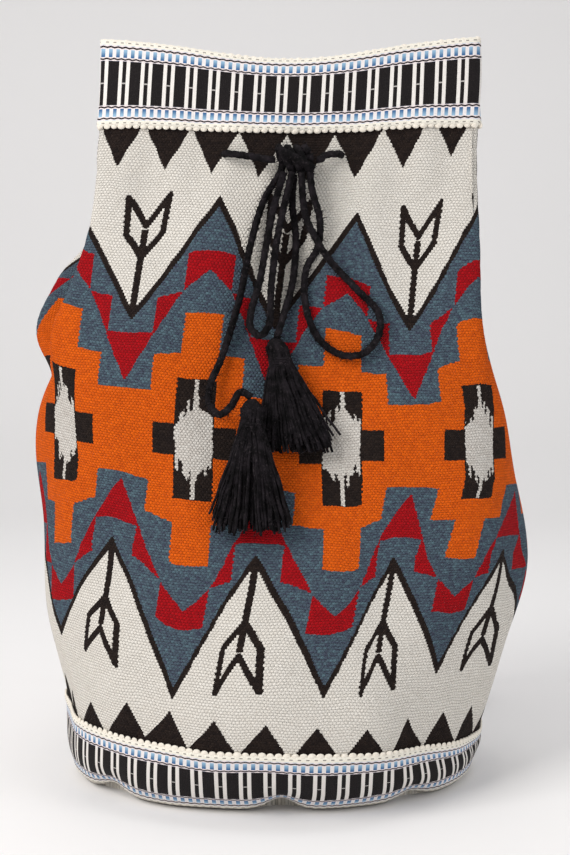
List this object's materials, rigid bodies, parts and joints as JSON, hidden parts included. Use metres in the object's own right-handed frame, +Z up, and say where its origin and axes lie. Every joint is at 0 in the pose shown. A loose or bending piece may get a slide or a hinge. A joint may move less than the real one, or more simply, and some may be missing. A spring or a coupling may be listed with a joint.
{
  "type": "fabric backpack",
  "caption": "Soft bucket backpack of woven wool with a zigzag pattern, a drawstring mouth tied in a bow with tassels, and shoulder straps.",
  "frame": {"origin": "middle of the flat base, on the ground", "axes": "+Z up, front with the bow towards -Y"},
  "size_m": [0.2897, 0.3025, 0.4183],
  "materials": {
    "woven_wool": "woven wool with a traditional zigzag pattern",
    "base_cloth": "plain woven wool",
    "ribbon": "woven ribbon with cream selvedges",
    "black_wool": "twisted wool yarn",
    "strap_webbing": "woven wool webbing"
  },
  "bodies": {
    "root": {"bag_body": "woven_wool", "base_panel": "base_cloth", "top_trim": "ribbon", "bottom_trim": "ribbon", "drawstring": "black_wool", "knot": "black_wool", "bow_loop_left": "black_wool", "bow_loop_right": "black_wool", "tail_left": "black_wool", "tail_right": "black_wool", "tassel_left": "black_wool", "tassel_right": "black_wool", "strap_left": "strap_webbing", "strap_right": "strap_webbing"}
  },
  "joints": []
}
